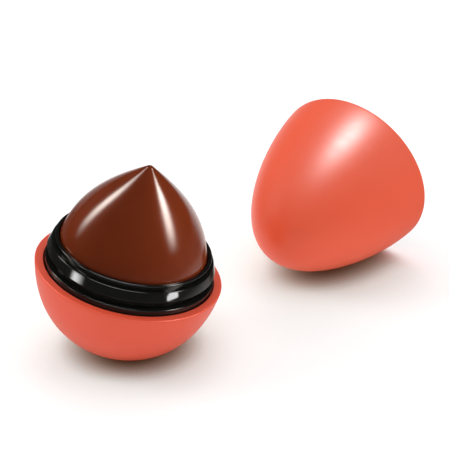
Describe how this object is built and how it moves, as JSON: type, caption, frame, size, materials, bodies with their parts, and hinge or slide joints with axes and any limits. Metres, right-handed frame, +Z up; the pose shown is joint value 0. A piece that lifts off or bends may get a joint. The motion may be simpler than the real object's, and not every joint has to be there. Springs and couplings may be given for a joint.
{
  "type": "lip balm",
  "caption": "Egg-shaped lip balm standing open: a leaning round base with a neck collar and a pointed balm dome, and its cap lying on its side beside it.",
  "frame": {"origin": "centre of the base's flat foot, on the table", "axes": "+Z up; the lying cap points its closed end towards -Y, at the front, and its mouth towards +Y"},
  "size_m": [0.0522, 0.092, 0.0425],
  "materials": {
    "base_plastic": "satin",
    "collar_plastic": "gloss",
    "tray_plastic": "gloss",
    "balm_wax": "gloss",
    "cap_plastic": "satin",
    "liner_plastic": "gloss"
  },
  "bodies": {
    "base": {"base_shell": "base_plastic", "neck_collar": "collar_plastic", "balm_tray": "tray_plastic", "balm": "balm_wax"},
    "cap": {"cap_shell": "cap_plastic", "cap_liner": "liner_plastic"}
  },
  "joints": [
    {"name": "cap_slide", "type": "slide", "parent": "base", "child": "cap", "axis": [0, 1, 0], "range_m": [0, 0.06]}
  ]
}
